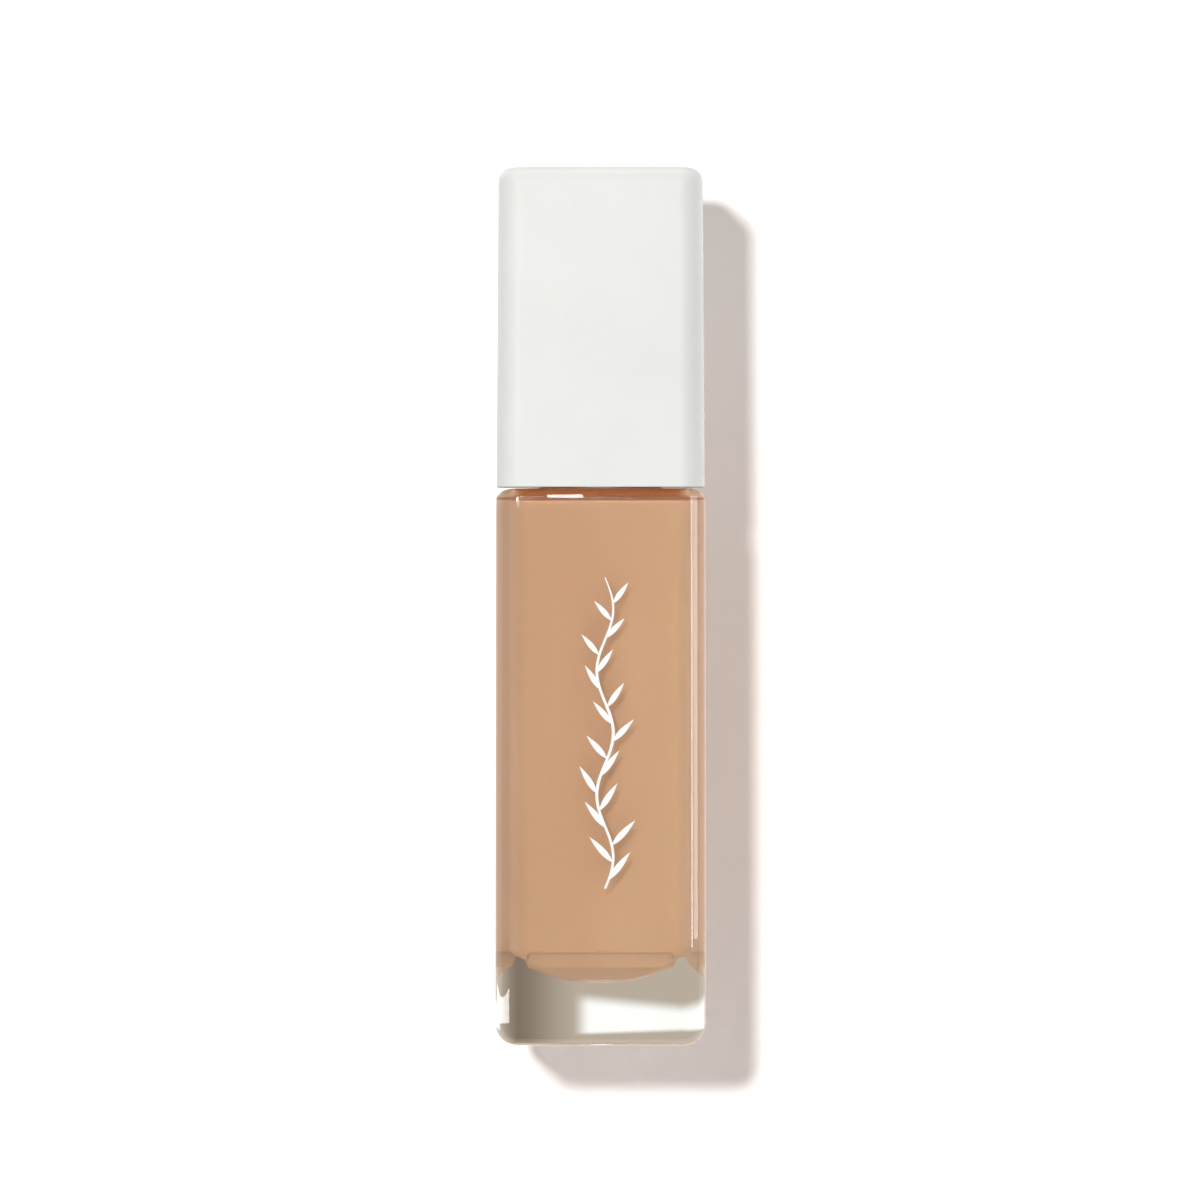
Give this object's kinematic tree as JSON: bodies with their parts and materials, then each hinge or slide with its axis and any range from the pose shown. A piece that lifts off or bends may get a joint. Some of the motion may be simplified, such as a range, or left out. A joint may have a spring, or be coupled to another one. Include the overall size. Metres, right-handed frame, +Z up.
{
  "type": "foundation bottle",
  "caption": "Square clear-glass bottle of liquid foundation with rounded corners, a thick base, a screw-on treatment pump and a tall white pull-off overcap.",
  "frame": {"origin": "middle of the base, on the surface that the bottle stands on", "axes": "+Z up along the bottle's height, +X to the right of the printed front, the printed front faces -Y"},
  "size_m": [0.0282, 0.0283, 0.1176],
  "materials": {
    "glass": "clear polished flint glass",
    "liquid": "opaque beige cream",
    "print": "raised white screen print",
    "label": "matte sticker",
    "foam": "fine white foam",
    "natural": "milky natural polypropylene",
    "steel": "bright stainless steel",
    "inner_white": "semi-matte white plastic",
    "seal": "soft waxy polyethylene",
    "gloss_white": "glossy white plastic",
    "satin_white": "satin white plastic"
  },
  "bodies": {
    "bottle": {"glass_bottle": "glass", "foundation_liquid": "liquid", "front_print": "print", "base_label": "label"},
    "pump_core": {"neck_gasket": "foam", "pump_housing": "natural", "dip_tube": "natural", "turret_ring": "inner_white", "return_spring": "steel"},
    "ball": {"valve_ball": "steel"},
    "stem": {"pump_stem": "inner_white", "stem_plug": "inner_white"},
    "piston": {"piston_seal": "seal"},
    "head": {"actuator_core": "inner_white", "actuator_cap": "gloss_white", "nozzle_tip": "inner_white"},
    "collar": {"collar_closure": "inner_white", "collar_sleeve": "gloss_white"},
    "overcap": {"overcap_shell": "satin_white", "overcap_liner": "inner_white"}
  },
  "joints": [
    {"name": "pump_lift", "type": "slide", "parent": "bottle", "child": "pump_core", "axis": [0, 0, 1], "range_m": [0, 0.00636]},
    {"name": "collar_turn", "type": "hinge", "parent": "pump_core", "child": "collar", "pos_m": [0, 0, 0.085], "axis": [0, 0, 1], "range_deg": [0, 720]},
    {"name": "overcap_pull", "type": "slide", "parent": "pump_core", "child": "overcap", "axis": [0, 0, 1], "range_m": [0, 0.048]},
    {"name": "pump_press", "type": "slide", "parent": "pump_core", "child": "stem", "axis": [0, 0, -1], "range_m": [0, 0.004], "stiffness_N_per_m": 600, "springref_m": -0.008, "deforming": ["return_spring"]},
    {"name": "nozzle_turn", "type": "hinge", "parent": "stem", "child": "head", "pos_m": [0, 0, 0.1], "axis": [0, 0, 1], "continuous": true},
    {"name": "piston_slip", "type": "slide", "parent": "stem", "child": "piston", "axis": [0, 0, 1], "range_m": [0, 0.0006]},
    {"name": "ball_lift", "type": "slide", "parent": "pump_core", "child": "ball", "axis": [0, 0, 1], "range_m": [0, 0.001]}
  ],
  "couplings": [
    {"joint": "pump_lift", "follows": "collar_turn", "m_per_rad": 0.00050532}
  ]
}
